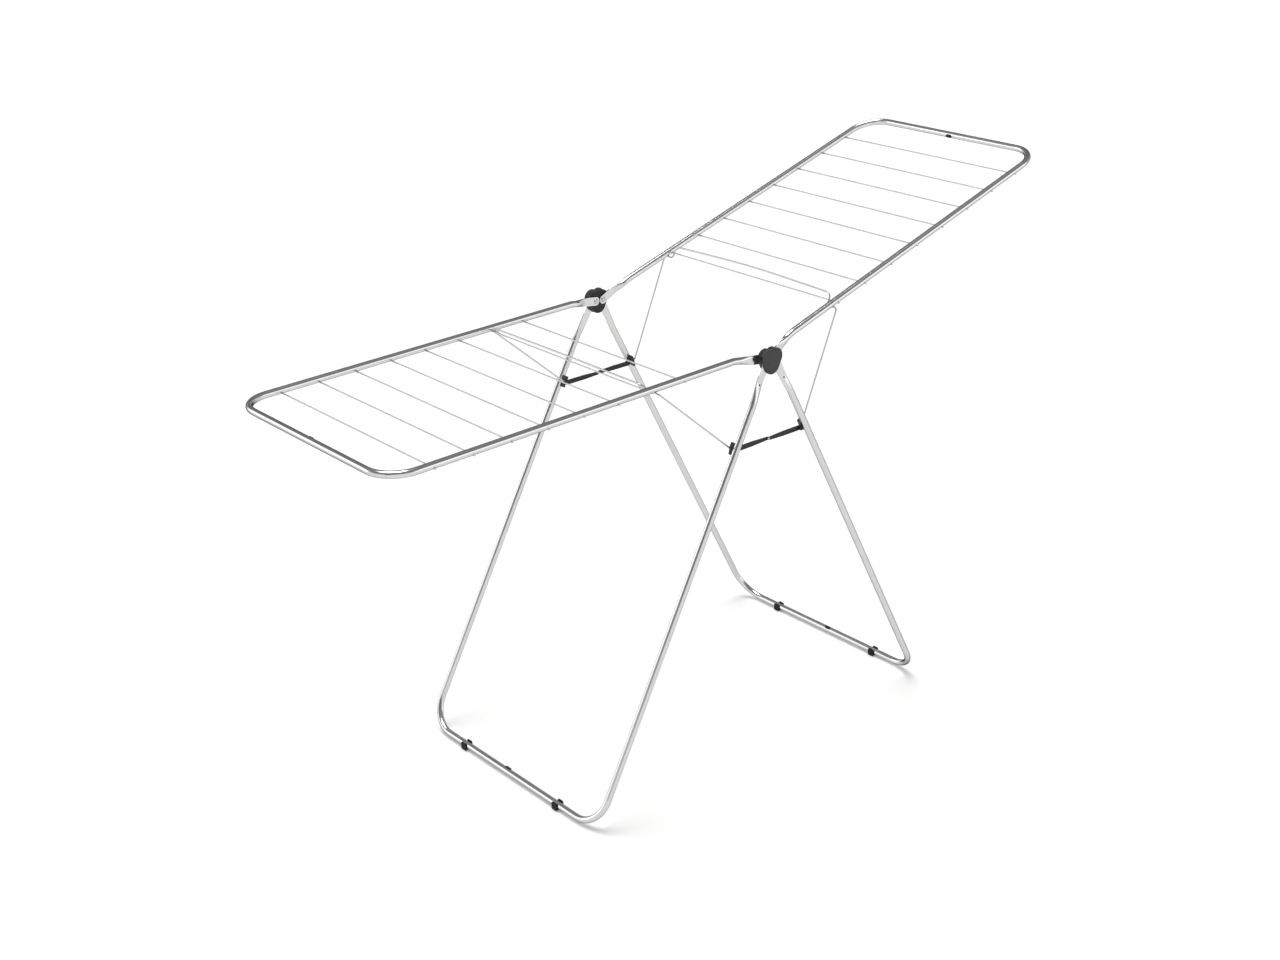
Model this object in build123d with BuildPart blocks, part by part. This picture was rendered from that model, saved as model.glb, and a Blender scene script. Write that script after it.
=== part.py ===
from build123d import *
import os
from math import cos, radians, sin

os.makedirs("parts", exist_ok=True)

# Frame: origin on the floor under the middle of the open rack, +X towards the raised wing,
# +Y towards the far side, +Z up. Left is -X, right is +X, near is -Y, far is +Y.

# Tube and wire stock
tube_d = 15.0
tube_wall = 0.8
wire_d = 3.2
stay_d = 4.0

# Fits
wire_fit = 0.1
turn_fit = 0.05
face_gap = 0.3

# Hinge: one pivot for each wing and leg pair, on each side
pivot_half = 10.9
rivet_d = 6.0
rivet_head_d = 12.0
rivet_head_t = 1.8
rivet_head_angle = 30.0

# Pressed tube ends
flat_width = 20.0
flat_thick = 3.0
wing_flat_run = 26.0
wing_press_run = 44.0
leg_flat_clear = 3.0
leg_press_run = 70.0
wing_flat_shift = 7.0
swell_steps = 4
leg_flat_inset = 5.2

# Wing frames
wing_half = 265.0
wing_crank = 12.7
crank_run = 78.0
crank_r = 60.0
wing_corner_r = 66.0
left_wing_angle = -1.1
right_wing_angle = 17.2

# Drying wires
wire_count = 8
first_wire = 220.6
wire_pitch = 88.5
last_gap = 99.5
wire_drop = 4.6
wire_head_d = 5.0
wire_head_t = 1.4
wire_head_angle = 20.0
crimp_d = 4.4
crimp_length = 5.0

# Leg frames
leg_side_gap = 26.2
leg_flare = 8.8
leg_length = 1059.4
leg_spread = 28.26
leg_corner_r = 68.0

# Knuckle
lobe_half = 9.5
lobe_rise = 5.0
lobe_r = 18.5
lobe_notch_r = 3.0
shield_foot = 31.0
shield_foot_r = 20.0
cap_plate = 4.2
cap_lip = 1.0
cap_edge_r = 2.0
cap_socket = 2.0
cap_land_gap = 1.5

# Feet and bumpers
foot_half = 166.0
foot_length = 17.0
foot_wall = 2.6
foot_pad = 4.0
foot_arm = 8.5
foot_round = 5.5
foot_edge_r = 2.0
foot_peg_d = 5.0
foot_peg_rise = 3.0
leg_bumper_shift = 13.0
bumper_length = 18.0
bumper_width = 9.0
bumper_t = 1.8
bumper_angle = 4.0
bumper_edge_r = 0.8
bumper_stem_d = 5.0

# Stays
stay_lane_gap = 1.6
stay_jog = 28.1
stay_setback = 12.2
stay_hook = 27.0
stay_arch = 7.0
stay_bend_r = 6.5
stay_corner_r = 12.0
stay_arch_r = 3200.0
stay_tip_out = 5.6

# Leg clips and folding straps
clip_run = 199.0
clip_length = 27.0
clip_width = 9.0
clip_taper_start = 4.0
clip_taper = 5.0
clip_corner_r = 1.2
clip_wrap = 4.0
clip_lane_gap = 2.1
ear_width = 11.0
strap_offset = 10.4
strap_thick = 2.5
strap_width = 11.0
strap_waist = 7.0
strap_shoulder = 50.0
strap_lane_gap = 0.5
strap_pin_d = 4.0

# Vent holes near the pressed ends: in the wings' inner sides, tilted up, and in the legs' outer faces
vent_d = 4.0
wing_vent_run = 63.0
wing_vent_tilt = 45.0
leg_vent_run = 54.0

# Worked-out sizes
tube_r = tube_d / 2
wire_r = wire_d / 2
stay_r = stay_d / 2
rivet_r = rivet_d / 2
wing_tube_start = wing_flat_run + wing_press_run
leg_flat_run = shield_foot + cap_lip + leg_flat_clear
leg_tube_start = leg_flat_run + leg_press_run

leg_top_half = wing_half + leg_side_gap
leg_foot_half = leg_top_half + leg_flare
wing_reach = first_wire + (wire_count - 1) * wire_pitch + last_gap

wing_flat_mid = wing_half + wing_flat_shift
body_inner = wing_flat_mid + flat_thick / 2 + face_gap
leg_flat_mid = leg_top_half - leg_flat_inset
body_outer = leg_flat_mid - flat_thick / 2 - face_gap
cap_inner = leg_flat_mid + flat_thick / 2 + face_gap

bar_height = foot_pad + tube_r
hinge_z = bar_height + leg_length * cos(radians(leg_spread))


def wing_span(rise):
    """Distance from the hinge centre to the outside of the end bar, along X."""
    return pivot_half + wing_reach * cos(radians(rise)) - wing_crank * sin(radians(rise)) + tube_r


hinge_x = (wing_span(left_wing_angle) - wing_span(right_wing_angle)) / 2

# Places of the drying wires along the rail, from the pivot
wire_runs = [first_wire + index * wire_pitch for index in range(wire_count)]
wire_level = wing_crank - wire_drop
wire_head_at = wing_half + tube_r

# The stay's lane lies between the peened wire ends and the straps
stay_half = wire_head_at + stay_lane_gap + stay_r
stay_inner_half = stay_half - stay_jog
stay_level = wing_crank - tube_r - stay_r - face_gap
clip_lane = wire_head_at + clip_lane_gap
strap_lane = stay_half + stay_r + strap_lane_gap
strap_inner = {"left": strap_lane, "right": strap_lane + strap_thick + face_gap}
ear_inner = strap_inner["right"] + strap_thick + face_gap

sides = {"left": -1, "right": 1}
ends = {"near": -1, "far": 1}
rises = {"left": left_wing_angle, "right": right_wing_angle}
stay_wire = {"left": 1, "right": 0}


def wing_plane(side):
    """Plane at the wing's pivot: X out along the rail, Z up from the wing, Y across."""
    sign = sides[side]
    rise = radians(rises[side])
    return Plane(
        origin=(hinge_x + sign * pivot_half, 0, hinge_z),
        x_dir=(sign * cos(rise), 0, sin(rise)),
        z_dir=(-sign * sin(rise), 0, cos(rise)),
    )


def leg_plane(side):
    """Plane at the leg's pivot: X down along the leg, Z out from the leg, Y across."""
    sign = sides[side]
    spread = radians(leg_spread)
    return Plane(
        origin=(hinge_x + sign * pivot_half, 0, hinge_z),
        x_dir=(sign * sin(spread), 0, -cos(spread)),
        z_dir=(sign * cos(spread), 0, sin(spread)),
    )


def side_view(plane):
    """The same plane seen from the side: sketch X stays, sketch Y is the plane's Z."""
    return Plane(origin=plane.origin, x_dir=plane.x_dir, z_dir=-plane.y_dir)


def face_view(y):
    """Upright plane across Y at the hinge, seen from the near side."""
    return Plane(origin=(hinge_x, y, hinge_z), x_dir=(1, 0, 0), z_dir=(0, -1, 0))


def leg_half(run):
    """Half the leg frame's width at a distance down the leg."""
    return leg_top_half + leg_flare * run / leg_length


def pressed_end(plane, along, flat_run, flat_y, tube_point, tube_dir):
    """A tube end pressed to a flat eye, with the swell back to the round tube."""
    eye = plane.from_local_coords(Vector(0, flat_y, 0))
    with BuildPart() as end:
        with BuildSketch(Plane(eye, x_dir=along, z_dir=plane.y_dir)):
            Circle(flat_width / 2)
            with Locations((flat_run / 2, 0)):
                Rectangle(flat_run, flat_width)
            Circle(rivet_r + turn_fit, mode=Mode.SUBTRACT)
        extrude(amount=flat_thick / 2, both=True)
        swell_start = eye + along * flat_run
        swell = tube_point - swell_start
        swell_run = along * swell.dot(along)
        with BuildSketch(Plane(swell_start, x_dir=plane.y_dir, z_dir=along)):
            Rectangle(flat_thick, flat_width)
        for step in range(1, swell_steps):
            share = step / swell_steps
            eased = share * share * (3 - 2 * share)
            centre = swell_start + swell_run * share + (swell - swell_run) * eased
            half_thick = flat_thick / 2 + (tube_r - flat_thick / 2) * eased
            half_width = flat_width / 2 + (tube_r - flat_width / 2) * eased
            with BuildSketch(Plane(centre, x_dir=plane.y_dir, z_dir=along)):
                Ellipse(half_thick, half_width)
        with BuildSketch(Plane(tube_point, x_dir=plane.y_dir, z_dir=tube_dir)):
            Circle(tube_r)
        loft()
    return end.part


def bent_tube(plane, points, bends, eyes):
    """A hollow tube bent along the points, with both ends pressed to eyes."""
    with BuildPart() as frame:
        with BuildLine(plane) as path:
            FilletPolyline(*points, radius=bends)
        route = path.wires()[0]
        with BuildSketch(Plane(route @ 0, z_dir=route % 0)):
            Circle(tube_r)
            Circle(tube_r - tube_wall, mode=Mode.SUBTRACT)
        sweep(path=route)
        add(eyes)
    return frame.part


# Wing frames
crank_dir = Vector(crank_run, 0, wing_crank).normalized()
crank_start = crank_dir * wing_tube_start
wing_bumper_seat = Vector(wing_reach, 0, wing_crank)

for side in sides:
    plane = wing_plane(side)
    along = plane.x_dir * crank_dir.X + plane.z_dir * crank_dir.Z
    rail = [
        (crank_start.X, wing_half, crank_start.Z),
        (crank_run, wing_half, wing_crank),
        (wing_reach, wing_half, wing_crank),
    ]
    points = rail + [(x, -y, z) for x, y, z in reversed(rail)]
    eyes = [
        pressed_end(
            plane,
            along,
            wing_flat_run,
            sign * wing_flat_mid,
            plane.from_local_coords(Vector(crank_start.X, sign * wing_half, crank_start.Z)),
            along,
        )
        for sign in (-1, 1)
    ]
    tube = bent_tube(plane, points, [crank_r, wing_corner_r, wing_corner_r, crank_r], eyes)
    vent = Vector(wing_vent_run * crank_dir.X, sides[side] * wing_half, wing_vent_run * crank_dir.Z)
    vent_in = plane.y_dir * (-sides[side] * cos(radians(wing_vent_tilt)))
    vent_up = along.cross(plane.y_dir) * sin(radians(wing_vent_tilt))
    with BuildPart() as wing_frame:
        add(tube)
        with BuildSketch(side_view(plane)):
            with Locations(*[(run, wire_level) for run in wire_runs]):
                Circle(wire_r + wire_fit)
        extrude(amount=wing_half + tube_d, both=True, mode=Mode.SUBTRACT)
        with BuildSketch(Plane(plane.from_local_coords(vent), z_dir=vent_in + vent_up)):
            Circle(vent_d / 2)
        extrude(amount=tube_d, mode=Mode.SUBTRACT)
        with BuildSketch(Plane(plane.from_local_coords(wing_bumper_seat), z_dir=-plane.x_dir)):
            Circle(bumper_stem_d / 2 + wire_fit)
        extrude(amount=tube_d, mode=Mode.SUBTRACT)
    wing_frame.part.label = f"{side}_wing_frame"
    export_step(wing_frame.part, f"parts/{side}_wing_frame.step")

# Drying wires, each with a peened head outside both rails and a crimp inside them
for side in sides:
    plane = wing_plane(side)
    for index, run in enumerate(wire_runs):
        centre = plane.from_local_coords(Vector(run, 0, wire_level))
        with BuildPart() as wire:
            with BuildSketch(Plane(centre, x_dir=plane.x_dir, z_dir=plane.y_dir)):
                Circle(wire_r)
            extrude(amount=wire_head_at, both=True)
            for sign in (-1, 1):
                across = plane.y_dir * sign
                with BuildSketch(Plane(centre + across * wire_head_at, z_dir=across)):
                    Circle(wire_head_d / 2)
                extrude(amount=wire_head_t, taper=wire_head_angle)
                with BuildSketch(Plane(centre + across * (wing_half - tube_r), z_dir=-across)):
                    Circle(crimp_d / 2)
                extrude(amount=crimp_length)
        name = f"{side}_wing_wire_{index + 1}"
        wire.part.label = name
        export_step(wire.part, f"parts/{name}.step")

# Leg frames
leg_slope = Vector(leg_length, leg_flare, 0).normalized()
leg_bumper_seat = Vector(leg_length, -leg_bumper_shift, 0)

for side in sides:
    plane = leg_plane(side)
    leg = [(leg_tube_start, leg_half(leg_tube_start), 0), (leg_length, leg_foot_half, 0)]
    points = leg + [(x, -y, z) for x, y, z in reversed(leg)]
    eyes = [
        pressed_end(
            plane,
            plane.x_dir,
            leg_flat_run,
            sign * leg_flat_mid,
            plane.from_local_coords(Vector(leg_tube_start, sign * leg_half(leg_tube_start), 0)),
            plane.x_dir * leg_slope.X + plane.y_dir * (sign * leg_slope.Y),
        )
        for sign in (-1, 1)
    ]
    tube = bent_tube(plane, points, [leg_corner_r, leg_corner_r], eyes)
    vent = Vector(leg_vent_run, -sides[side] * leg_flat_mid, 0)
    with BuildPart() as leg_frame:
        add(tube)
        with BuildSketch(Plane(plane.from_local_coords(vent), z_dir=plane.y_dir * -sides[side])):
            Circle(vent_d / 2)
        extrude(amount=tube_d, mode=Mode.SUBTRACT)
        with BuildSketch(Plane((plane.from_local_coords(Vector(leg_length, 0, 0)).X, 0, 0))):
            with Locations((0, -foot_half), (0, foot_half)):
                Circle(foot_peg_d / 2 + wire_fit)
        extrude(amount=bar_height, mode=Mode.SUBTRACT)
        with BuildSketch(Plane(plane.from_local_coords(leg_bumper_seat), z_dir=-plane.x_dir)):
            Circle(bumper_stem_d / 2 + wire_fit)
        extrude(amount=tube_d, mode=Mode.SUBTRACT)
    leg_frame.part.label = f"{side}_leg_frame"
    export_step(leg_frame.part, f"parts/{side}_leg_frame.step")

# Bumpers: an oblong button on the inside of each wing's end bar, and of each floor bar a little off its middle
bumper_seats = {}
for side in sides:
    plane = wing_plane(side)
    bumper_seats[f"{side}_wing_bumper"] = (
        plane.from_local_coords(wing_bumper_seat),
        -plane.x_dir,
        plane.y_dir,
    )
    plane = leg_plane(side)
    bumper_seats[f"{side}_leg_bumper"] = (
        plane.from_local_coords(leg_bumper_seat),
        -plane.x_dir,
        plane.y_dir,
    )

for name, (centre, outward, across) in bumper_seats.items():
    with BuildPart() as bumper:
        with BuildSketch(Plane(centre, x_dir=across, z_dir=outward)):
            Circle(bumper_stem_d / 2)
        extrude(amount=tube_r)
        with BuildSketch(Plane(centre, x_dir=across, z_dir=outward)):
            SlotOverall(bumper_length, bumper_width)
        extrude(amount=tube_r + bumper_t, taper=bumper_angle)
        fillet(bumper.faces().sort_by(Axis(centre, outward))[-1].edges(), bumper_edge_r)
        with BuildSketch(Plane(centre, x_dir=outward, z_dir=across)):
            Circle(tube_r + wire_fit)
        extrude(amount=bumper_length, both=True, mode=Mode.SUBTRACT)
        with BuildSketch(Plane(centre, x_dir=across, z_dir=outward)):
            Circle(bumper_stem_d / 2)
        extrude(amount=tube_r + bumper_t / 2)
    bumper.part.label = name
    export_step(bumper.part, f"parts/{name}.step")

# Feet: a clip with two arms round the floor bar, flat on the floor and pegged into the tube from below
foot_outer = tube_r + foot_wall
foot_height = foot_arm + bar_height
foot_mid = foot_height / 2 - bar_height

for side in sides:
    for end, sign in ends.items():
        centre = leg_plane(side).from_local_coords(Vector(leg_length, sides[side] * sign * foot_half, 0))
        with BuildPart() as foot:
            with BuildSketch(Plane(centre, x_dir=(1, 0, 0), z_dir=(0, -1, 0))):
                with Locations((0, foot_mid)):
                    RectangleRounded(2 * foot_outer, foot_height, foot_edge_r)
                Circle(tube_r + wire_fit, mode=Mode.SUBTRACT)
                with Locations((0, foot_arm)):
                    Rectangle(2 * (tube_r + wire_fit), 2 * foot_arm, mode=Mode.SUBTRACT)
            extrude(amount=foot_length / 2, both=True)
            with BuildSketch(Plane(centre, x_dir=(0, 1, 0), z_dir=(1, 0, 0))):
                with Locations((0, foot_mid)):
                    RectangleRounded(foot_length, foot_height, foot_round)
            extrude(amount=foot_outer, both=True, mode=Mode.INTERSECT)
            with BuildSketch(Plane((centre.X, centre.Y, foot_pad / 2))):
                Circle(foot_peg_d / 2)
            extrude(amount=foot_pad / 2 + tube_wall + foot_peg_rise)
        name = f"{side}_leg_foot_{end}"
        foot.part.label = name
        export_step(foot.part, f"parts/{name}.step")


def shield_half(sign):
    """One lobe of the knuckle, drawn down to the rounded foot."""
    with BuildSketch() as half:
        with Locations((sign * lobe_half, lobe_rise)):
            Circle(lobe_r)
        with Locations((0, shield_foot_r - shield_foot)):
            Circle(shield_foot_r)
        make_hull()
    return half.sketch


# Knuckle outline, seen from the near side: two lobes with a soft notch between them
with BuildSketch() as shield:
    add(shield_half(-1))
    add(shield_half(1))
    notch = shield.vertices().filter_by(lambda corner: abs(corner.X) < lobe_notch_r).sort_by(Axis.Y)[-1]
    fillet(notch, lobe_notch_r)

pivots = [(-pivot_half, 0), (pivot_half, 0)]
land_height = flat_width / 2 + cap_land_gap

for end, sign in ends.items():
    with BuildPart() as hinge_body:
        with BuildSketch(face_view(sign * body_inner)):
            add(shield.sketch)
            with Locations(*pivots):
                Circle(rivet_r + turn_fit, mode=Mode.SUBTRACT)
        extrude(amount=-sign * (body_outer - body_inner))
    hinge_body.part.label = f"hinge_body_{end}"
    export_step(hinge_body.part, f"parts/hinge_body_{end}.step")

    with BuildPart() as hinge_cap:
        with BuildSketch(face_view(sign * cap_inner)):
            offset(shield.sketch, amount=cap_lip)
        extrude(amount=-sign * cap_plate)
        fillet(hinge_cap.faces().sort_by(Axis.Y)[0 if sign < 0 else -1].edges(), cap_edge_r)
        with BuildSketch(face_view(sign * body_outer)):
            add(shield.sketch)
            with Locations((0, land_height - 2 * shield_foot)):
                Rectangle(4 * shield_foot, 4 * shield_foot, mode=Mode.SUBTRACT)
        extrude(amount=-sign * (cap_inner - body_outer))
        with BuildSketch(face_view(sign * cap_inner)):
            with Locations(*pivots):
                Circle(rivet_r + turn_fit)
        extrude(amount=-sign * (cap_socket + face_gap), mode=Mode.SUBTRACT)
    hinge_cap.part.label = f"hinge_cap_{end}"
    export_step(hinge_cap.part, f"parts/hinge_cap_{end}.step")

    for side in sides:
        head_inner = wing_flat_mid - flat_thick / 2 - face_gap
        with BuildPart() as rivet:
            with BuildSketch(face_view(sign * head_inner)):
                with Locations((sides[side] * pivot_half, 0)):
                    Circle(rivet_r)
            extrude(amount=-sign * (cap_inner + cap_socket - head_inner))
            with BuildSketch(face_view(sign * head_inner)):
                with Locations((sides[side] * pivot_half, 0)):
                    Circle(rivet_head_d / 2)
            extrude(amount=sign * rivet_head_t, taper=rivet_head_angle)
        name = f"hinge_rivet_{side}_{end}"
        rivet.part.label = name
        export_step(rivet.part, f"parts/{name}.step")

# Stays: one bent wire each, arms outside the rails, a jog under them and a bow above the drying wires
for side in sides:
    wing = wing_plane(side)
    leg = leg_plane(side)
    jog = wing.from_local_coords(Vector(wire_runs[stay_wire[side]] - stay_setback, 0, stay_level))
    clip = leg.from_local_coords(Vector(clip_run, 0, stay_tip_out))
    reach = (jog - clip).length
    rise_dir = (jog - clip).normalized()
    stay_plane = Plane(clip, x_dir=rise_dir, z_dir=rise_dir.cross(Vector(0, 1, 0)))
    half = [
        (0, stay_half),
        (reach, stay_half),
        (reach, stay_inner_half),
        (reach + stay_hook, stay_inner_half),
    ]
    points = half + [(reach + stay_hook + stay_arch, 0)] + [(x, -y) for x, y in reversed(half)]
    bends = [stay_bend_r, stay_bend_r, stay_corner_r, stay_arch_r, stay_corner_r, stay_bend_r, stay_bend_r]
    with BuildPart() as stay:
        with BuildLine(stay_plane) as path:
            FilletPolyline(*points, radius=bends)
        route = path.wires()[0]
        with BuildSketch(Plane(route @ 0, z_dir=route % 0)):
            Circle(stay_r)
        sweep(path=route)
    stay.part.label = f"{side}_stay"
    export_step(stay.part, f"parts/{side}_stay.step")

# Leg clips: a bar along the inside of the leg tube, with an ear and a pin for the strap
for side in sides:
    plane = leg_plane(side)
    view = side_view(plane)
    tube_mid = leg_half(clip_run)
    clip_outer = tube_mid - clip_wrap
    for end, sign in ends.items():
        lane = sides[side] * sign
        tube_dir = plane.x_dir * leg_slope.X + plane.y_dir * (lane * leg_slope.Y)
        tube_at = plane.from_local_coords(Vector(clip_run, lane * tube_mid, 0))
        with BuildPart() as clip:
            with BuildSketch(view.offset(-lane * clip_lane)):
                with BuildLine():
                    FilletPolyline(
                        (clip_run - clip_length / 2, -clip_width / 2),
                        (clip_run + clip_length / 2, -clip_width / 2),
                        (clip_run + clip_length / 2, clip_width / 2 - clip_taper),
                        (clip_run - clip_taper_start, clip_width / 2),
                        (clip_run - clip_length / 2, clip_width / 2),
                        radius=clip_corner_r,
                        close=True,
                    )
                make_face()
            extrude(amount=-lane * (clip_outer - clip_lane))
            with BuildSketch(view.offset(-lane * ear_inner)):
                with Locations((clip_run, -strap_offset)):
                    Circle(ear_width / 2)
                with Locations((clip_run, -strap_offset / 2)):
                    Rectangle(ear_width, strap_offset)
            extrude(amount=-lane * (clip_outer - ear_inner))
            with BuildSketch(view.offset(-lane * strap_inner[side])):
                with Locations((clip_run, -strap_offset)):
                    Circle(strap_pin_d / 2)
            extrude(amount=-lane * (clip_outer - strap_inner[side]))
            with BuildSketch(Plane(tube_at, z_dir=tube_dir)):
                Circle(tube_r + wire_fit)
            extrude(amount=clip_length, both=True, mode=Mode.SUBTRACT)
        name = f"leg_clip_{side}_{end}"
        clip.part.label = name
        export_step(clip.part, f"parts/{name}.step")

# Folding straps: two links side by side, lapped at the middle, each turning on its clip's pin
pins = {side: leg_plane(side).from_local_coords(Vector(clip_run, 0, -strap_offset)) for side in sides}
link = (pins["right"].X - pins["left"].X) / 2

for side in sides:
    pin = pins[side]
    for end, sign in ends.items():
        base = Plane(
            (pin.X, sign * strap_inner[side], pin.Z),
            x_dir=(-sides[side], 0, 0),
            z_dir=(0, sign, 0),
        )
        with BuildPart() as strap:
            with BuildSketch(base):
                with BuildLine():
                    Polyline(
                        (0, -strap_width / 2),
                        (strap_shoulder, -strap_width / 2),
                        (link, -strap_waist / 2),
                        (link, strap_waist / 2),
                        (strap_shoulder, strap_width / 2),
                        (0, strap_width / 2),
                        close=True,
                    )
                make_face()
                Circle(strap_width / 2)
                with Locations((link, 0)):
                    Circle(strap_waist / 2)
                Circle(strap_pin_d / 2 + turn_fit, mode=Mode.SUBTRACT)
            extrude(amount=strap_thick)
        name = f"strap_link_{side}_{end}"
        strap.part.label = name
        export_step(strap.part, f"parts/{name}.step")
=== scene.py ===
"""Clothes drying rack: finishes, strap studs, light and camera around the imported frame."""
import math

import bmesh
import bpy
from mathutils import Matrix, Vector


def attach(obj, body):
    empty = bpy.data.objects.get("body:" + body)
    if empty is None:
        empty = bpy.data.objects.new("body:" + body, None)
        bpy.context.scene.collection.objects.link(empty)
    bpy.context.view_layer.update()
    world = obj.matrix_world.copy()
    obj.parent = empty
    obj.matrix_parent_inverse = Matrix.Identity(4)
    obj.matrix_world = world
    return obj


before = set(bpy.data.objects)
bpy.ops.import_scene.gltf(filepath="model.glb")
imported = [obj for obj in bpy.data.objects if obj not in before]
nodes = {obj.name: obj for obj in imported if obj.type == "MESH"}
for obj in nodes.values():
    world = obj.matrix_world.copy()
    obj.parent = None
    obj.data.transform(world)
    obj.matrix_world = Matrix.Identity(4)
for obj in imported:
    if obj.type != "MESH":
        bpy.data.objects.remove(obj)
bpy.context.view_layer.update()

scene = bpy.context.scene

# Picture and camera, in pixels of the 1280 x 960 frame, metres and degrees
image_width = 1280
focal_pixels = 1783.0
sensor_width_mm = 36.0
camera_place = Vector((-2.5128, -2.7611, 2.2000))
camera_yaw = -41.20
camera_elevation = 23.39
camera_roll = -0.587

# Floor, in metres
floor_radius = 60.0
floor_sides = 96
floor_colour = (0.80, 0.797, 0.791)
floor_glow = 0.16

# Room brightness by height, as (sine of the elevation, grey)
world_steps = [(0.0, 1.0), (0.25, 1.0), (0.38, 0.27), (0.85, 0.27), (1.0, 0.45)]
# Cards in the room, as (azimuth, elevation, inner angle, outer angle, grey), angles in degrees
world_cards = [
    (124.0, 8.0, 14.0, 30.0, 2.2),
    (-55.0, 4.0, 14.0, 30.0, 1.6),
    (-152.0, 21.5, 8.0, 12.5, 0.06),
]
# Lamp, in degrees and watts per square metre
lamp_azimuth = 105.0
lamp_elevation = 79.0
lamp_spread = 36.0
lamp_power = 2.35

# Hinge pivots in the side view, in metres and degrees
pivot_x = {"left": 0.01202, "right": 0.03382}
pivot_z = 0.94463
wing_rise = {"left": -1.1, "right": 17.2}
leg_spread = 28.26
side_sign = {"left": -1, "right": 1}
end_sign = {"near": -1, "far": 1}

# Where the end bars of the frames begin, from the pivot
wing_bar_from = 0.874
leg_bar_from = 0.992
bar_blend = 0.045

# Vent holes: place, and the way they open; each hole is painted as a dark disc, painted shade for the inside
# of the tube
vents = {
    "left_wing_frame": ((-0.05034, 0.265, 0.95356), (0.1002, -0.7071, 0.7000)),
    "right_wing_frame": ((0.09023, 0.265, 0.97269), (-0.3149, -0.7071, 0.6331)),
    "left_leg_frame": ((-0.01355, -0.2860, 0.89707), (0.0, -1.0, 0.0)),
    "right_leg_frame": ((0.05939, -0.2860, 0.89707), (0.0, -1.0, 0.0)),
}
vent_radius = 0.00215
vent_floor = -0.0005
vent_shade_grey = 0.012
vent_roughness = 0.85

# Range of a noise texture that the finishes use
noise_low = 0.3
noise_high = 0.7

# Tube finish: greys, roughness, and texture scales per metre
tube_greys = (0.56, 0.66)
tube_line_grey = 0.76
tube_line_share = 0.3
tube_edge_grey = 0.03
tube_roughness = (0.10, 0.20)
tube_mark_range = (0.52, 0.72)
tube_mark_roughness = 0.07
tube_line_across = 2600.0
tube_line_along = 25.0
tube_cloud_scale = 16.0
tube_mark_scale = 75.0

# Wire and rivet finishes
wire_greys = (0.48, 0.58)
wire_roughness = (0.26, 0.40)
wire_line_across = 3200.0
wire_line_along = 60.0
wire_cloud_scale = 22.0
rivet_greys = (0.40, 0.54)
rivet_roughness = (0.22, 0.40)
rivet_ring_scale = 2600.0
rivet_cloud_scale = 240.0

# Moulded plastic: cosines of the edge angle that count as rubbed, and the patches that vary it
rubbed_from = 0.97
rubbed_full = 0.80
rubbed_patch = (0.40, 0.62)
rubbed_share = (0.15, 0.85)
cloud_patch = (0.35, 0.75)
cloud_share = 0.35
patch_scale = 70.0

# Foot rubber: greys, roughness, and the dust on its lowest part in metres
foot_greys = (0.005, 0.009)
foot_roughness = (0.55, 0.75)
foot_gloss = 0.22
foot_grain_scale = 1100.0
dust_low = 0.0005
dust_high = 0.006
dust_share = 0.8
dust_scale = 320.0
dust_colour = (0.060, 0.057, 0.052, 1.0)

# Stud heads on the lap of the folding straps
stud_x = 0.02292
stud_z = 0.76443
stud_inner_y = 0.2786
stud_outer_y = 0.2839
stud_sides = 32
stud_profile_inner = [
    (0.0, 0.0004),
    (0.0024, 0.0004),
    (0.0030, 0.0002),
    (0.0032, -0.0001),
    (0.0, -0.0001),
]
stud_profile_outer = [
    (0.0, 0.00115),
    (0.0010, 0.0011),
    (0.0020, 0.00092),
    (0.0027, 0.00060),
    (0.0031, 0.00020),
    (0.0032, -0.0001),
    (0.0, -0.0001),
]


def node_tree(owner):
    """Clears a material's or world's nodes and returns a helper that adds and links new ones."""
    owner.use_nodes = True
    tree = owner.node_tree
    tree.nodes.clear()

    def add(kind, inputs=None, **settings):
        made = tree.nodes.new(kind)
        for name, value in settings.items():
            setattr(made, name, value)
        for name, value in (inputs or {}).items():
            if isinstance(value, bpy.types.NodeSocket):
                tree.links.new(value, made.inputs[name])
            else:
                made.inputs[name].default_value = value
        return made

    return add


def math_node(add, operation, first, second=0.0, clamp=False):
    """One Math node; returns its output."""
    made = add("ShaderNodeMath", {0: first, 1: second}, operation=operation, use_clamp=clamp)
    return made.outputs[0]


def vector_node(add, operation, first, second=(0.0, 0.0, 0.0), output="Vector"):
    """One Vector Math node; returns the named output."""
    made = add("ShaderNodeVectorMath", {0: first, 1: second}, operation=operation)
    return made.outputs[output]


def range_node(add, value, low, high, to_low, to_high, smooth=False):
    """Maps a value from one range to another, held at the ends; returns the output."""
    kind = "SMOOTHSTEP" if smooth else "LINEAR"
    made = add(
        "ShaderNodeMapRange",
        {"Value": value, 1: low, 2: high, 3: to_low, 4: to_high},
        interpolation_type=kind,
    )
    return made.outputs[0]


def mix_colour(add, factor, first, second):
    """Blends two colours; returns the output."""
    made = add("ShaderNodeMix", {"Factor": factor, 6: first, 7: second}, data_type="RGBA")
    return made.outputs[2]


def mix_value(add, factor, first, second):
    """Blends two numbers; returns the output."""
    made = add("ShaderNodeMix", {"Factor": factor, 2: first, 3: second}, data_type="FLOAT")
    return made.outputs[0]


def noise_node(add, place, scale, detail=3.0, roughness=0.5):
    """Noise at a scale; returns its grey output."""
    inputs = {"Vector": place, "Scale": scale, "Detail": detail, "Roughness": roughness}
    return add("ShaderNodeTexNoise", inputs).outputs[0]


def noise_range(add, noise, to_low, to_high):
    """Maps a noise's usual range to another range; returns the output."""
    return range_node(add, noise, noise_low, noise_high, to_low, to_high)


def bump_node(add, height, strength, distance):
    """A bump from a height; returns its normal."""
    made = add("ShaderNodeBump", {"Height": height, "Strength": strength, "Distance": distance})
    return made.outputs["Normal"]


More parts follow.
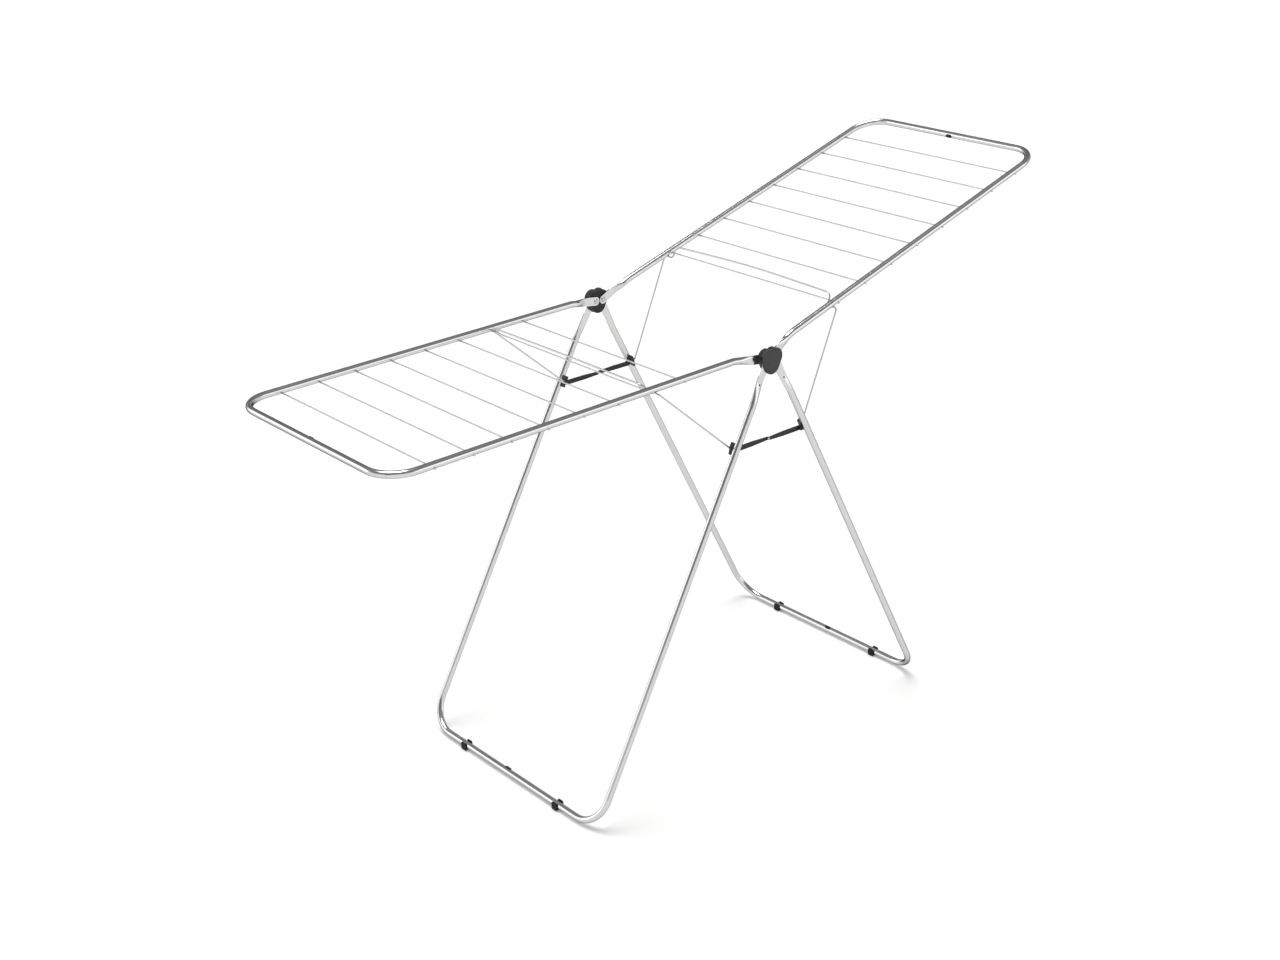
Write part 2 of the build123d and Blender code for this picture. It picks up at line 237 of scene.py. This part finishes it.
def grey_ramp(add, factor, stops):
    """A colour ramp from (position, grey) stops; returns its colour output."""
    made = add("ShaderNodeValToRGB", {"Fac": factor})
    ramp = made.color_ramp
    while len(ramp.elements) < len(stops):
        ramp.elements.new(0.5)
    for element, (position, level) in zip(ramp.elements, stops):
        element.position = position
        element.color = grey(level)
    return made.outputs["Color"]


def grey(value):
    """A neutral colour."""
    return (value, value, value, 1.0)


def finish_shader(add, colour, roughness, normal, **constants):
    """Ends a material with one Principled shader."""
    inputs = {"Base Color": colour, "Roughness": roughness, "Normal": normal}
    shader = add("ShaderNodeBsdfPrincipled", inputs)
    for name, value in constants.items():
        shader.inputs[name.replace("_", " ")].default_value = value
    add("ShaderNodeOutputMaterial", {"Surface": shader.outputs[0]})


def tube_steel(name, origin, along, bar_from, vent):
    """Drawn stainless tube: polishing lines along the tube, cloudy handling marks, and a vent hole painted
    dark as the shade inside it.
    """
    material = bpy.data.materials.new(name)
    add = node_tree(material)
    place = add("ShaderNodeTexCoord").outputs["Object"]
    local = vector_node(add, "SUBTRACT", place, origin)
    out = (-along.z, 0.0, along.x)
    run = vector_node(add, "DOT_PRODUCT", local, along, "Value")
    rise = vector_node(add, "DOT_PRODUCT", local, out, "Value")
    across = add("ShaderNodeSeparateXYZ", {0: place}).outputs["Y"]
    frame_place = add("ShaderNodeCombineXYZ", {0: run, 1: across, 2: rise}).outputs[0]
    rail_scale = (tube_line_along, tube_line_across, tube_line_across)
    bar_scale = (tube_line_across, tube_line_along, tube_line_across)
    rail_lines = noise_node(add, vector_node(add, "MULTIPLY", frame_place, rail_scale), 1.0)
    bar_lines = noise_node(add, vector_node(add, "MULTIPLY", frame_place, bar_scale), 1.0)
    on_bar = range_node(add, run, bar_from, bar_from + bar_blend, 0.0, 1.0, smooth=True)
    lines = mix_value(add, on_bar, rail_lines, bar_lines)
    cloudy = noise_node(add, place, tube_cloud_scale, 4.0, 0.6)
    marks = range_node(add, noise_node(add, place, tube_mark_scale, 5.0, 0.65), *tube_mark_range, 0.0, 1.0)
    tone = mix_colour(add, cloudy, grey(tube_greys[0]), grey(tube_greys[1]))
    tone = mix_colour(add, noise_range(add, lines, 0.0, tube_line_share), tone, grey(tube_line_grey))
    rough = noise_range(add, lines, *tube_roughness)
    rough = math_node(add, "ADD", rough, math_node(add, "MULTIPLY", marks, tube_mark_roughness))
    from_vent = vector_node(add, "SUBTRACT", place, vent[0])
    depth = vector_node(add, "DOT_PRODUCT", from_vent, vent[1], "Value")
    beside = vector_node(add, "CROSS_PRODUCT", from_vent, vent[1])
    reach = vector_node(add, "LENGTH", beside, output="Value")
    # Painted shade: inside the vent's disc the tube is coloured near black, for the shadow within the hole
    vent_shade_mask = math_node(add, "LESS_THAN", reach, vent_radius)
    vent_shade_mask = math_node(add, "MULTIPLY", vent_shade_mask, math_node(add, "GREATER_THAN", depth, vent_floor))
    tone = mix_colour(add, vent_shade_mask, tone, grey(vent_shade_grey))
    rough = mix_value(add, vent_shade_mask, rough, vent_roughness)
    normal = bump_node(add, lines, 0.25, 0.00003)
    finish_shader(add, tone, rough, normal, Metallic=1.0, Specular_Tint=grey(tube_edge_grey))
    return material


def wire_steel(name):
    """Drawn wire: fine die lines along it, a duller skin than the tube, faint cloudy marks."""
    material = bpy.data.materials.new(name)
    add = node_tree(material)
    place = add("ShaderNodeTexCoord").outputs["Object"]
    line_scale = (wire_line_across, wire_line_along, wire_line_across)
    lines = noise_node(add, vector_node(add, "MULTIPLY", place, line_scale), 1.0)
    cloudy = noise_node(add, place, wire_cloud_scale, 4.0, 0.6)
    tone = mix_colour(add, cloudy, grey(wire_greys[0]), grey(wire_greys[1]))
    rough = noise_range(add, lines, *wire_roughness)
    finish_shader(add, tone, rough, bump_node(add, lines, 0.2, 0.00003), Metallic=1.0)
    return material


def rivet_steel(name, axis_x, axis_z):
    """Headed rivet: turning rings round its axis and a rubbed, cloudy skin."""
    material = bpy.data.materials.new(name)
    add = node_tree(material)
    place = add("ShaderNodeTexCoord").outputs["Object"]
    from_axis = vector_node(add, "SUBTRACT", place, (axis_x, 0.0, axis_z))
    flat_place = vector_node(add, "MULTIPLY", from_axis, (1.0, 0.0, 1.0))
    reach = vector_node(add, "LENGTH", flat_place, output="Value")
    ring_run = math_node(add, "MULTIPLY", reach, rivet_ring_scale)
    ring_place = add("ShaderNodeCombineXYZ", {0: ring_run}).outputs[0]
    rings = noise_node(add, ring_place, 1.0)
    cloudy = noise_node(add, place, rivet_cloud_scale, 4.0, 0.6)
    tone = mix_colour(add, cloudy, grey(rivet_greys[0]), grey(rivet_greys[1]))
    rough = noise_range(add, rings, *rivet_roughness)
    finish_shader(add, tone, rough, bump_node(add, rings, 0.3, 0.00005), Metallic=1.0)
    return material


def moulded(name, colour, worn, rough_low, rough_high, grain_scale, edge_radius, gloss):
    """Moulded plastic: spark-eroded grain, faint cloudy patches, paler rubbed edges."""
    material = bpy.data.materials.new(name)
    add = node_tree(material)
    place = add("ShaderNodeTexCoord").outputs["Object"]
    grain = noise_node(add, place, grain_scale, 3.0, 0.6)
    patches = noise_node(add, place, patch_scale, 5.0, 0.7)
    rounded = add("ShaderNodeBevel", {"Radius": edge_radius}, samples=4).outputs["Normal"]
    straight = add("ShaderNodeNewGeometry").outputs["Normal"]
    facing = vector_node(add, "DOT_PRODUCT", rounded, straight, "Value")
    edge = range_node(add, facing, rubbed_from, rubbed_full, 0.0, 1.0)
    rubbed = math_node(add, "MULTIPLY", edge, range_node(add, patches, *rubbed_patch, *rubbed_share))
    cloud = range_node(add, patches, *cloud_patch, 0.0, cloud_share)
    tone = mix_colour(add, math_node(add, "MAXIMUM", rubbed, cloud), colour, worn)
    rough = noise_range(add, grain, rough_low, rough_high)
    finish_shader(add, tone, rough, bump_node(add, grain, 0.25, 0.00012), Specular_IOR_Level=gloss)
    return material


def foot_rubber(name):
    """Matt black rubber: fine grain, with pale floor dust on its lowest few millimetres."""
    material = bpy.data.materials.new(name)
    add = node_tree(material)
    place = add("ShaderNodeTexCoord").outputs["Object"]
    grain = noise_node(add, place, foot_grain_scale, 3.0, 0.6)
    height = add("ShaderNodeSeparateXYZ", {0: place}).outputs["Z"]
    low = range_node(add, height, dust_low, dust_high, dust_share, 0.0)
    dust = math_node(add, "MULTIPLY", low, noise_node(add, place, dust_scale, 5.0, 0.7))
    spots = noise_range(add, grain, 0.0, 1.0)
    tone = mix_colour(add, spots, grey(foot_greys[0]), grey(foot_greys[1]))
    tone = mix_colour(add, dust, tone, dust_colour)
    rough = noise_range(add, grain, *foot_roughness)
    finish_shader(add, tone, rough, bump_node(add, grain, 0.3, 0.00015), Specular_IOR_Level=foot_gloss)
    return material


def frame_finishes():
    """Materials of the four tube frames, whose polishing lines follow each frame."""
    finishes = {}
    for side, sign in side_sign.items():
        origin = Vector((pivot_x[side], 0.0, pivot_z))
        rise = math.radians(wing_rise[side])
        spread = math.radians(leg_spread)
        ways = {
            f"{side}_wing_frame": (Vector((sign * math.cos(rise), 0.0, math.sin(rise))), wing_bar_from),
            f"{side}_leg_frame": (Vector((sign * math.sin(spread), 0.0, -math.cos(spread))), leg_bar_from),
        }
        for node_name, (along, bar_from) in ways.items():
            finishes[node_name] = tube_steel(f"{node_name}_steel", origin, along, bar_from, vents[node_name])
    return finishes


def finish_nodes():
    """Gives each CAD node the detailed material of its frame or its slot."""
    by_node = frame_finishes()
    for side in side_sign:
        turned = rivet_steel(f"{side}_rivet_turned", pivot_x[side], pivot_z)
        for end in end_sign:
            by_node[f"hinge_rivet_{side}_{end}"] = turned
    # Painted shade: the hinge bodies get a darker copy of the knuckle plastic, for the shadow they sit in
    # beside the caps
    core = moulded("knuckle_core_painted_shade", grey(0.012), grey(0.035), 0.42, 0.58, 1500.0, 0.0007, 0.28)
    for end in end_sign:
        by_node[f"hinge_body_{end}"] = core
    by_slot = {
        "wire_steel": wire_steel("wire_steel_drawn"),
        "knuckle_plastic": moulded(
            "knuckle_grained", grey(0.036), grey(0.075), 0.46, 0.62, 1500.0, 0.0009, 0.32
        ),
        "black_plastic": moulded(
            "black_grained", grey(0.008), grey(0.030), 0.34, 0.50, 1700.0, 0.0006, 0.30
        ),
        "foot_rubber": foot_rubber("foot_rubber_matt"),
    }
    for node_name, thing in nodes.items():
        for socket in thing.material_slots:
            slot_name = socket.material.name.split(".")[0]
            socket.material = by_node.get(node_name) or by_slot[slot_name]


def turned_piece(name, profile, place, way):
    """A closed turned form: (radius, height) points swept round an axis along Y."""
    mesh = bpy.data.meshes.new(name)
    form = bmesh.new()
    rings = []
    for radius, height in profile:
        level = place.y + way * height
        if radius == 0.0:
            rings.append([form.verts.new((place.x, level, place.z))])
            continue
        ring = []
        for step in range(stud_sides):
            turn = 2 * math.pi * step / stud_sides
            across = radius * math.cos(turn)
            ring.append(form.verts.new((place.x + across, level, place.z + radius * math.sin(turn))))
        rings.append(ring)
    for upper, lower in zip(rings, rings[1:]):
        for step in range(stud_sides):
            after = (step + 1) % stud_sides
            corners = [upper[step % len(upper)], lower[step % len(lower)]]
            corners += [lower[after % len(lower)], upper[after % len(upper)]]
            form.faces.new(list(dict.fromkeys(corners)))
    bmesh.ops.recalc_face_normals(form, faces=form.faces)
    for face in form.faces:
        face.smooth = True
    form.to_mesh(mesh)
    form.free()
    piece = bpy.data.objects.new(name, mesh)
    scene.collection.objects.link(piece)
    return piece


def make_studs():
    """The heads of the studs that hold the two links of each strap at their lap."""
    material = rivet_steel("stud_turned", stud_x, stud_z)
    for end, sign in end_sign.items():
        heads = [
            (f"strap_stud_inner_{end}", stud_profile_inner, stud_inner_y, -sign, f"left_strap_{end}"),
            (f"strap_stud_outer_{end}", stud_profile_outer, stud_outer_y, sign, f"right_strap_{end}"),
        ]
        for name, profile, lane, way, body in heads:
            piece = turned_piece(name, profile, Vector((stud_x, sign * lane, stud_z)), way)
            piece.data.materials.append(material)
            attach(piece, body)


def make_floor():
    """A wide pale floor that keeps the shadow and shows white beyond it."""
    corners = []
    for side in range(floor_sides):
        turn = 2 * math.pi * side / floor_sides
        corners.append((floor_radius * math.cos(turn), floor_radius * math.sin(turn), 0.0))
    mesh = bpy.data.meshes.new("studio_floor")
    mesh.from_pydata(corners, [], [list(range(floor_sides))])
    floor = bpy.data.objects.new("studio_floor", mesh)
    scene.collection.objects.link(floor)
    material = bpy.data.materials.new("studio_floor")
    add = node_tree(material)
    path = add("ShaderNodeLightPath")
    seen = math_node(add, "ADD", path.outputs["Is Camera Ray"], path.outputs["Is Glossy Ray"])
    seen = math_node(add, "ADD", seen, path.outputs["Is Transmission Ray"], clamp=True)
    glow = add("ShaderNodeEmission", {"Strength": math_node(add, "MULTIPLY", seen, floor_glow)})
    matt = add("ShaderNodeBsdfDiffuse", {"Color": (*floor_colour, 1.0)})
    both = add("ShaderNodeAddShader", {0: matt.outputs[0], 1: glow.outputs[0]})
    add("ShaderNodeOutputMaterial", {"Surface": both.outputs[0]})
    mesh.materials.append(material)


def aim(azimuth, elevation):
    """The direction at an azimuth and elevation in degrees."""
    turn = math.radians(azimuth)
    lift = math.radians(elevation)
    return Vector((math.cos(turn) * math.cos(lift), math.sin(turn) * math.cos(lift), math.sin(lift)))


def make_world():
    """A studio seen all round: white low walls, a dim upper room, two bright cards and a dark one."""
    world = bpy.data.worlds.new("studio")
    scene.world = world
    add = node_tree(world)
    way = add("ShaderNodeTexCoord").outputs["Generated"]
    height = add("ShaderNodeSeparateXYZ", {0: way}).outputs["Z"]
    room = grey_ramp(add, height, world_steps)
    for azimuth, elevation, inner, outer, level in world_cards:
        facing = vector_node(add, "DOT_PRODUCT", way, aim(azimuth, elevation), "Value")
        edge = math.cos(math.radians(outer))
        core = math.cos(math.radians(inner))
        card = range_node(add, facing, edge, core, 0.0, 1.0, smooth=True)
        room = mix_colour(add, card, room, grey(level))
    back = add("ShaderNodeBackground", {"Color": room, "Strength": 1.0})
    add("ShaderNodeOutputWorld", {"Surface": back.outputs[0]})


def make_lamps():
    """One broad soft lamp high above and behind the rack, so that its shadows stay under the bars."""
    data = bpy.data.lights.new("top_lamp", "SUN")
    data.energy = lamp_power
    data.angle = math.radians(lamp_spread)
    lamp = bpy.data.objects.new("top_lamp", data)
    scene.collection.objects.link(lamp)
    lamp.rotation_mode = "QUATERNION"
    lamp.rotation_quaternion = (-aim(lamp_azimuth, lamp_elevation)).to_track_quat("-Z", "Y")


def make_camera():
    """The photograph's camera."""
    data = bpy.data.cameras.new("camera")
    data.sensor_fit = "HORIZONTAL"
    data.sensor_width = sensor_width_mm
    data.lens = focal_pixels / image_width * sensor_width_mm
    data.clip_end = 200.0
    camera = bpy.data.objects.new("camera", data)
    scene.collection.objects.link(camera)
    yaw = math.radians(camera_yaw)
    pitch = math.radians(camera_elevation)
    roll = math.radians(camera_roll)
    back = Vector((math.sin(yaw) * math.cos(pitch), -math.cos(yaw) * math.cos(pitch), math.sin(pitch)))
    right = Vector((math.cos(yaw), math.sin(yaw), 0.0))
    up = back.cross(right)
    rolled_right = right * math.cos(roll) + up * math.sin(roll)
    rolled_up = up * math.cos(roll) - right * math.sin(roll)
    turn = Matrix((rolled_right, rolled_up, back)).transposed().to_4x4()
    camera.matrix_world = Matrix.Translation(camera_place) @ turn
    scene.camera = camera


finish_nodes()
make_studs()
make_floor()
make_world()
make_lamps()
make_camera()
scene.view_settings.view_transform = "Standard"
